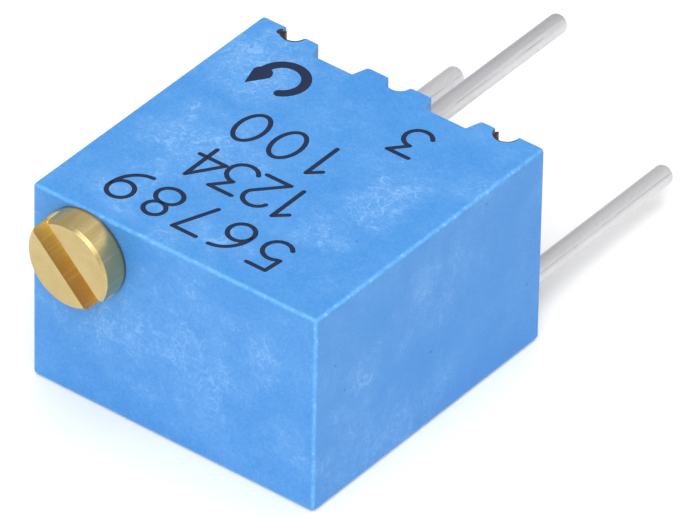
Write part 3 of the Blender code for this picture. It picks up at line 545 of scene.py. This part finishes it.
def merged_copy(node, name, soft_angle=32.0):
    """A copy of a CAD node with its doubled points merged, smooth but for its sharp edges."""
    form = bmesh.new()
    form.from_mesh(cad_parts[node].data)
    bmesh.ops.remove_doubles(form, verts=form.verts, dist=NODE_POINTS_APART * MM)
    for face in form.faces:
        face.smooth = True
    for edge in form.edges:
        edge.smooth = edge.calc_face_angle(0.0) < math.radians(soft_angle)
    mesh = bpy.data.meshes.new(name)
    form.to_mesh(mesh)
    form.free()
    for attribute in ("custom_normal", "sharp_face"):
        if attribute in mesh.attributes:
            mesh.attributes.remove(mesh.attributes[attribute])
    piece = linked(name, mesh)
    normals = piece.modifiers.new("even shading", "WEIGHTED_NORMAL")
    normals.keep_sharp = True
    normals.weight = 80
    return piece


def arc(centre_u, centre_v, reach_u, reach_v, start, end, steps=14):
    """Points along part of an ellipse, from one angle to another in degrees."""
    points = []
    for step in range(steps + 1):
        angle = math.radians(start + (end - start) * step / steps)
        points.append(
            (centre_u + reach_u * math.cos(angle), centre_v + reach_v * math.sin(angle))
        )
    return points


# Strokes of each digit, in heights of the digit, from its lower left corner.
DIGIT_MIDDLE = 0.31
DIGITS = {
    "0": [arc(DIGIT_MIDDLE, 0.5, 0.29, 0.47, 90, 450, 28)],
    "1": [[(0.14, 0.76), (0.38, 0.98), (0.38, 0.0)]],
    "2": [arc(DIGIT_MIDDLE, 0.72, 0.28, 0.26, 165, -25) + [(0.03, 0.02), (0.61, 0.02)]],
    "3": [[(0.03, 0.97), (0.58, 0.97), (0.27, 0.61)] + arc(0.28, 0.305, 0.31, 0.305, 85, -150)],
    "4": [[(0.46, 0.0), (0.46, 0.98), (0.0, 0.30), (0.64, 0.30)]],
    "5": [[(0.56, 0.97), (0.10, 0.97), (0.06, 0.55)] + arc(0.30, 0.32, 0.30, 0.30, 125, -145)],
    "6": [
        arc(0.62, 0.32, 0.59, 0.66, 92, 180, 10)
        + arc(DIGIT_MIDDLE, 0.30, 0.28, 0.28, 180, -180, 24)
    ],
    "7": [[(0.02, 0.97), (0.60, 0.97), (0.22, 0.0)]],
    "8": [
        arc(DIGIT_MIDDLE, 0.75, 0.23, 0.22, 90, 450, 24),
        arc(DIGIT_MIDDLE, 0.27, 0.29, 0.26, 90, 450, 24),
    ],
    "9": [
        arc(DIGIT_MIDDLE, 0.69, 0.28, 0.28, 0, 360, 24)
        + arc(0.0, 0.67, 0.59, 0.66, 0, -88, 10)
    ],
}

# Rows of the print in mm: the middle of each digit in x, then the lines in y that the
# digits stand on and reach up to.
ROWS = {
    "first_row": ((1.47, 0.61, -0.25, -1.12, -1.98), -1.92, -2.87),
    "second_row": ((0.79, 0.16, -0.53, -1.20), -0.48, -1.46),
    "third_row": ((0.45, -0.42, -1.28), 0.96, -0.01),
    "terminal_number": ((1.33,), 2.45, 1.55),
}

# The turning arrow: its middle and radius in mm, the angles it runs between, and how much
# broader than the digits' its line is.
ARROW_X, ARROW_Y = -1.80, 2.06
ARROW_RADIUS = 0.46
ARROW_START, ARROW_END = -60, 190
ARROW_LINE = 2.1

# The arrow's head: where it starts from the end of the line and how far it runs from there,
# in mm, then its width at the back in widths of the line, and how much of it the tip loses.
HEAD_START_X, HEAD_START_Y = 0.03, -0.02
HEAD_RUN_X, HEAD_RUN_Y = -0.07, -0.42
HEAD_WIDTH = 2.1
HEAD_TAPER = 2.0

# Where a printed stroke turns more sharply than this, in degrees, it is split in two.
SHARP_TURN = 35

# The round end of a stroke: angles of its points in degrees, and the least width factor.
CAP_ANGLES = (25, 50, 70, 90)
CAP_TIP = 0.02

# How high a printed line stands over the top face, in mm, where its width factor is 1.
PRINT_HEIGHT = 0.007


def split_at_corners(points):
    """The parts of a stroke between its sharp corners, so that each has round ends."""
    parts = [[points[0]]]
    for before, point, after in zip(points, points[1:], points[2:]):
        parts[-1].append(point)
        into, out = (Vector(b[:2]) - Vector(a[:2]) for a, b in ((before, point), (point, after)))
        if into.angle(out) > math.radians(SHARP_TURN):
            parts.append([point])
    parts[-1].append(points[-1])
    return parts


def round_ends(points, half):
    """Points of a stroke with a thickness factor each, tapered so that its ends are round."""
    stroke = [(Vector(point[:2]), point[2] if len(point) > 2 else 1.0) for point in points]
    for end, beside in ((0, 1), (-1, -2)):
        tip, factor = stroke[end]
        outward = (tip - stroke[beside][0]).normalized() * half * factor
        cap = [
            (tip + outward * math.sin(turn), factor * max(math.cos(turn), CAP_TIP))
            for turn in (math.radians(angle) for angle in CAP_ANGLES)
        ]
        stroke = stroke + cap if end else cap[::-1] + stroke
    return stroke


def inked(name, strokes, width):
    """Printed lines on the top face: each stroke a flat ribbon, standing a little proud."""
    curve = bpy.data.curves.new(name, "CURVE")
    curve.dimensions = "3D"
    curve.bevel_depth = width / 2
    curve.bevel_resolution = 3
    curve.use_fill_caps = True
    for points in (part for stroke in strokes for part in split_at_corners(stroke)):
        stroke = round_ends(points, width / 2)
        spline = curve.splines.new("POLY")
        spline.points.add(len(stroke) - 1)
        for point, (place, factor) in zip(spline.points, stroke):
            point.co = (*place, 0.0, 1.0)
            point.radius = factor
    pen = linked(name, curve)
    evaluated = pen.evaluated_get(bpy.context.evaluated_depsgraph_get())
    mesh = bpy.data.meshes.new_from_object(evaluated)
    bpy.data.objects.remove(pen)
    bpy.data.curves.remove(curve)
    form = bmesh.new()
    form.from_mesh(mesh)
    bmesh.ops.remove_doubles(form, verts=form.verts, dist=PRINT_POINTS_APART)
    flattened = MM * PRINT_HEIGHT / (width / 2)
    bmesh.ops.scale(form, vec=(MM, MM, flattened), verts=form.verts)
    bmesh.ops.translate(form, vec=(0, 0, TOP_Z * MM), verts=form.verts)
    bmesh.ops.recalc_face_normals(form, faces=form.faces)
    form.to_mesh(mesh)
    form.free()
    mesh.name = name
    return linked(name, mesh)


def digit_strokes(text, middles, base, cap):
    """Strokes of a row of digits that reads towards -X, with its tops towards -Y."""
    height = base - cap
    return [
        [(middle - (u - DIGIT_MIDDLE) * height, base - v * height) for u, v in points]
        for digit, middle in zip(text, middles)
        for points in DIGITS[digit]
    ]


def arrow_strokes():
    """The arc of the turning arrow, and its head, which narrows to a point."""
    line = arc(ARROW_X, ARROW_Y, ARROW_RADIUS, ARROW_RADIUS, ARROW_START, ARROW_END, 26)
    end_x, end_y = line[-1]
    head = [
        (
            end_x + HEAD_START_X + HEAD_RUN_X * part,
            end_y + HEAD_START_Y + HEAD_RUN_Y * part,
            HEAD_WIDTH - HEAD_TAPER * part,
        )
        for part in (0.0, 0.25, 0.5, 0.75, 1.0)
    ]
    return [line, head]


# User values.


class CaseLook(bpy.types.PropertyGroup):
    """Finish of the moulded case."""

    colour: FloatVectorProperty(
        name="Moulding colour", description="Blue of the moulding where it is clean",
        default=(0.046, 0.262, 0.665), subtype="COLOR", min=0.0, max=1.0)
    shade: FloatVectorProperty(
        name="Moulding shade", description="Deeper blue in the mottle",
        default=(0.038, 0.244, 0.645), subtype="COLOR", min=0.0, max=1.0)
    # The edge colour is partly wear and partly a painted highlight.
    edge: FloatVectorProperty(
        name="Edge colour", description="Brighter blue of the rubbed corners",
        default=(0.165, 0.490, 0.920), subtype="COLOR", min=0.0, max=1.0)
    chalk: FloatVectorProperty(
        name="Rubbed colour", description="Pale blue where the surface is rubbed",
        default=(0.355, 0.610, 0.950), subtype="COLOR", min=0.0, max=1.0)
    speck: FloatVectorProperty(
        name="Speck colour", description="Small dark specks and pits",
        default=(0.020, 0.110, 0.320), subtype="COLOR", min=0.0, max=1.0)
    # Colour of the dark patches on the roof round the outer notches.
    notch_dark: FloatVectorProperty(
        name="Smear colour", description="Resin smeared at the notches",
        default=(0.028, 0.022, 0.022), subtype="COLOR", min=0.0, max=1.0)
    scuffs: FloatProperty(
        name="Scuffs", description="Strength of the rubbed strokes",
        default=0.50, subtype="FACTOR", min=0.0, max=1.0)
    haze: FloatProperty(
        name="Haze", description="Strength of the chalky cloud round the strokes",
        default=0.24, subtype="FACTOR", min=0.0, max=1.0)
    # Strength of the pale corners, partly wear and partly painted highlight.
    edge_wear_and_highlight: FloatProperty(
        name="Edge wear", description="Paleness of the worn edges",
        default=0.76, subtype="FACTOR", min=0.0, max=1.0)
    grain_depth: FloatProperty(
        name="Grain depth", description="Height of the moulded grain",
        default=0.004 * MM, subtype="DISTANCE", unit="LENGTH", precision=6)


class PrintLook(bpy.types.PropertyGroup):
    """The plain print on the top face."""

    first_row: StringProperty(
        name="First row", description="Digits next to the screw face", default="56789")
    second_row: StringProperty(
        name="Second row", description="Digits of the middle row", default="1234")
    third_row: StringProperty(
        name="Third row", description="Digits of the short row", default="100")
    terminal_number: StringProperty(
        name="Terminal number", description="Digit beside the right-hand pin", default="3")
    line_width: FloatProperty(
        name="Line width", description="Width of a printed line",
        default=0.099 * MM, subtype="DISTANCE", unit="LENGTH", precision=6)
    ink: FloatVectorProperty(
        name="Ink", description="Solid ink",
        default=(0.012, 0.022, 0.060), subtype="COLOR", min=0.0, max=1.0)
    thin_ink: FloatVectorProperty(
        name="Thin ink", description="Ink where the case shows through it",
        default=(0.018, 0.050, 0.140), subtype="COLOR", min=0.0, max=1.0)


class ScrewLook(bpy.types.PropertyGroup):
    """Finish of the brass adjusting screw."""

    colour: FloatVectorProperty(
        name="Brass", description="Clean turned brass",
        default=(0.565, 0.445, 0.205), subtype="COLOR", min=0.0, max=1.0)
    tarnish: FloatVectorProperty(
        name="Tarnish", description="Duller brass in patches",
        default=(0.50, 0.36, 0.14), subtype="COLOR", min=0.0, max=1.0)
    bright: FloatVectorProperty(
        name="Bright streaks", description="Bright metal in the drawn streaks",
        default=(0.84, 0.68, 0.38), subtype="COLOR", min=0.0, max=1.0)
    # The slot floor's colours are painted light: the ochre is painted bounce light, the browner
    # end is painted shade.
    slot: FloatVectorProperty(
        name="Slot floor", description="Ochre brass on the floor of the slot",
        default=(1.0, 0.76, 0.23), subtype="COLOR", min=0.0, max=1.0)
    slot_end_shade: FloatVectorProperty(
        name="Slot floor, darker", description="Browner brass towards the lower end of the slot",
        default=(0.92, 0.52, 0.11), subtype="COLOR", min=0.0, max=1.0)
    # Colour of the painted shadow where the head meets the case.
    painted_contact_shade: FloatVectorProperty(
        name="Gap", description="Dark line where the head meets the case",
        default=(0.10, 0.085, 0.06), subtype="COLOR", min=0.0, max=1.0)


class PinLook(bpy.types.PropertyGroup):
    """Finish of the tinned pins."""

    colour: FloatVectorProperty(
        name="Tin", description="Clean tinned surface",
        default=(0.74, 0.735, 0.75), subtype="COLOR", min=0.0, max=1.0)
    # This colour is also the painted shade on each pin's upper flank, besides the cloudy oxide.
    oxide_and_shade: FloatVectorProperty(
        name="Oxide", description="Cloudy duller tin",
        default=(0.53, 0.52, 0.55), subtype="COLOR", min=0.0, max=1.0)
    hairline: FloatVectorProperty(
        name="Hairlines", description="Brown drawn lines",
        default=(0.36, 0.30, 0.25), subtype="COLOR", min=0.0, max=1.0)


class ResinLook(bpy.types.PropertyGroup):
    """Finish of the potting resin."""

    colour: FloatVectorProperty(
        name="Resin", description="Deep resin",
        default=(0.010, 0.008, 0.008), subtype="COLOR", min=0.0, max=1.0)
    thin: FloatVectorProperty(
        name="Thin resin", description="Resin where it runs thin",
        default=(0.045, 0.026, 0.018), subtype="COLOR", min=0.0, max=1.0)


class StageLook(bpy.types.PropertyGroup):
    """Floor, lights and camera."""

    floor: FloatVectorProperty(
        name="Floor", description="Pale floor",
        default=(0.95, 0.95, 0.95), subtype="COLOR", min=0.0, max=1.0)
    floor_glow: FloatProperty(
        name="Floor glow", description="Light of the translucent floor, which thins the shadows",
        default=0.06, min=0.0)
    floor_size: FloatProperty(
        name="Floor size", description="Side of the square floor",
        default=0.9, subtype="DISTANCE", unit="LENGTH")
    sky: FloatProperty(
        name="Sky", description="Strength of the even white light",
        default=0.46, min=0.0)
    key: FloatProperty(
        name="Key light", description="Power of the large soft key light",
        default=2.88, subtype="POWER", unit="POWER", min=0.0)
    overhead: FloatProperty(
        name="Overhead light", description="Power of the soft light above",
        default=1.26, subtype="POWER", unit="POWER", min=0.0)
    rear: FloatProperty(
        name="Rear light", description="Power of the small light behind, which edges the metal",
        default=0.20, subtype="POWER", unit="POWER", min=0.0)
    lens: FloatProperty(
        name="Lens", description="Focal length of the camera, in mm of a 36 mm sensor",
        default=590.008)


LOOKS = {
    "trimmer_case": CaseLook,
    "trimmer_print": PrintLook,
    "trimmer_screw": ScrewLook,
    "trimmer_pins": PinLook,
    "trimmer_resin": ResinLook,
    "trimmer_stage": StageLook,
}


# Operators.


class TRIMMER_OT_case(bpy.types.Operator):
    """Makes the blue moulded case, smooth round its corners."""

    bl_idname = "trimmer.case"
    bl_label = "Moulded case"

    def execute(self, context):
        case = merged_copy("housing", "moulded_case")
        dress(case, "case", case_finish(context.scene.trimmer_case))
        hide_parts("housing")
        return {"FINISHED"}


class TRIMMER_OT_print(bpy.types.Operator):
    """Prints plain digits and a turning arrow on the top face."""

    bl_idname = "trimmer.print"
    bl_label = "Print"

    def execute(self, context):
        look = context.scene.trimmer_print
        width = look.line_width / MM
        ink = ink_finish(look)
        pieces = [
            inked("print_" + row, digit_strokes(getattr(look, row), *place), width)
            for row, place in ROWS.items()
        ]
        pieces.append(inked("print_turn_arrow", arrow_strokes(), width * ARROW_LINE))
        for piece in pieces:
            dress(piece, "case", ink)
        return {"FINISHED"}


class TRIMMER_OT_screw(bpy.types.Operator):
    """Makes the slotted brass adjusting screw."""

    bl_idname = "trimmer.screw"
    bl_label = "Adjusting screw"

    def execute(self, context):
        screw = merged_copy("adjusting_screw", "slotted_screw")
        dress(screw, "screw", brass_finish(context.scene.trimmer_screw))
        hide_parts("adjusting_screw")
        return {"FINISHED"}


class TRIMMER_OT_pins(bpy.types.Operator):
    """Makes the three tinned pins."""

    bl_idname = "trimmer.pins"
    bl_label = "Pins"

    def execute(self, context):
        for number in PIN_FLANK_SHADE:
            pin = merged_copy("terminal_" + number, "pin_" + number, soft_angle=50.0)
            tin = tinned_finish(context.scene.trimmer_pins, number)
            dress(pin, "case", tin)
            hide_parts("terminal_" + number)
        return {"FINISHED"}


class TRIMMER_OT_resin(bpy.types.Operator):
    """Makes the dark potting resin at the pin end."""

    bl_idname = "trimmer.resin"
    bl_label = "Potting resin"

    def execute(self, context):
        resin = merged_copy("potting_compound", "poured_resin", soft_angle=40.0)
        dress(resin, "case", resin_finish(context.scene.trimmer_resin))
        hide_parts("potting_compound")
        return {"FINISHED"}


class TRIMMER_OT_inside(bpy.types.Operator):
    """Gives each CAD piece inside the case its finish."""

    bl_idname = "trimmer.inside"
    bl_label = "Pieces inside"

    def execute(self, context):
        for slot, nodes in INSIDE_NODES.items():
            finish = inside_finish(slot)
            for node in nodes:
                for material_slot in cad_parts[node].material_slots:
                    material_slot.material = finish
        return {"FINISHED"}


class TRIMMER_OT_stage(bpy.types.Operator):
    """Sets the pale floor, the soft lights and the camera of the photo's view."""

    bl_idname = "trimmer.stage"
    bl_label = "Stage"

    def execute(self, context):
        look = context.scene.trimmer_stage
        form = bmesh.new()
        bmesh.ops.create_grid(
            form,
            x_segments=FLOOR_SQUARES,
            y_segments=FLOOR_SQUARES,
            size=look.floor_size / 2,
        )
        mesh = bpy.data.meshes.new("pale_floor")
        form.to_mesh(mesh)
        form.free()
        floor = linked("pale_floor", mesh)
        floor.location = (0, 0, -FLOOR_GAP)
        f = Finish("pale_floor", IOR=1.3, Emission_Strength=look.floor_glow)
        paper = f.noise(3.0, 4.0, 0.6)
        f.finish(
            0.002,
            paper,
            Base_Color=f.mix(paper, [part * PAPER_SHADE for part in look.floor], look.floor),
            Roughness=0.8 + paper * 0.1,
            Emission_Color=look.floor,
        )
        floor.data.materials.append(f.material)

        world = bpy.data.worlds.new("even_white")
        world.use_nodes = True
        background = world.node_tree.nodes["Background"]
        background.inputs["Color"].default_value = (1, 1, 1, 1)
        background.inputs["Strength"].default_value = look.sky
        context.scene.world = world

        for name, (place, size) in SOFTBOXES.items():
            lamp = bpy.data.lights.new(name + "_softbox", "AREA")
            lamp.shape = "SQUARE"
            lamp.size = size
            lamp.energy = getattr(look, name)
            softbox = linked(name + "_softbox", lamp)
            softbox.location = place
            softbox.rotation_euler = Vector(place).to_track_quat("Z", "Y").to_euler()

        view = bpy.data.cameras.new("photo_view")
        view.lens = look.lens
        view.sensor_width = SENSOR_WIDTH
        view.sensor_fit = "HORIZONTAL"
        view.clip_start, view.clip_end = CLIP_RANGE
        camera = linked("photo_view", view)
        turn = Matrix((CAMERA_RIGHT, CAMERA_UP, CAMERA_BACK)).transposed()
        camera.matrix_world = Matrix.Translation(CAMERA_PLACE) @ turn.to_4x4()
        context.scene.camera = camera
        context.scene.view_settings.view_transform = "Standard"
        return {"FINISHED"}


OPERATORS = (
    TRIMMER_OT_case,
    TRIMMER_OT_print,
    TRIMMER_OT_screw,
    TRIMMER_OT_pins,
    TRIMMER_OT_resin,
    TRIMMER_OT_inside,
    TRIMMER_OT_stage,
)


class TRIMMER_PT_panel(bpy.types.Panel):
    """Lists the pieces of the trimmer and the values of their looks."""

    bl_idname = "TRIMMER_PT_panel"
    bl_label = "Trimmer"
    bl_space_type = "VIEW_3D"
    bl_region_type = "UI"
    bl_category = "Trimmer"

    def draw(self, context):
        for operator in OPERATORS:
            self.layout.operator(operator.bl_idname)
        for name, group in LOOKS.items():
            box = self.layout.box()
            look = getattr(context.scene, name)
            for key in group.__annotations__:
                box.prop(look, key)


def register():
    for name, group in LOOKS.items():
        bpy.utils.register_class(group)
        setattr(bpy.types.Scene, name, PointerProperty(type=group))
    for operator in OPERATORS:
        bpy.utils.register_class(operator)
    bpy.utils.register_class(TRIMMER_PT_panel)


def unregister():
    bpy.utils.unregister_class(TRIMMER_PT_panel)
    for operator in reversed(OPERATORS):
        bpy.utils.unregister_class(operator)
    for name, group in reversed(LOOKS.items()):
        delattr(bpy.types.Scene, name)
        bpy.utils.unregister_class(group)


def main():
    register()
    bpy.ops.trimmer.case()
    bpy.ops.trimmer.print()
    bpy.ops.trimmer.screw()
    bpy.ops.trimmer.pins()
    bpy.ops.trimmer.resin()
    bpy.ops.trimmer.inside()
    bpy.ops.trimmer.stage()
    bpy.context.view_layer.update()


if __name__ == "__main__":
    main()
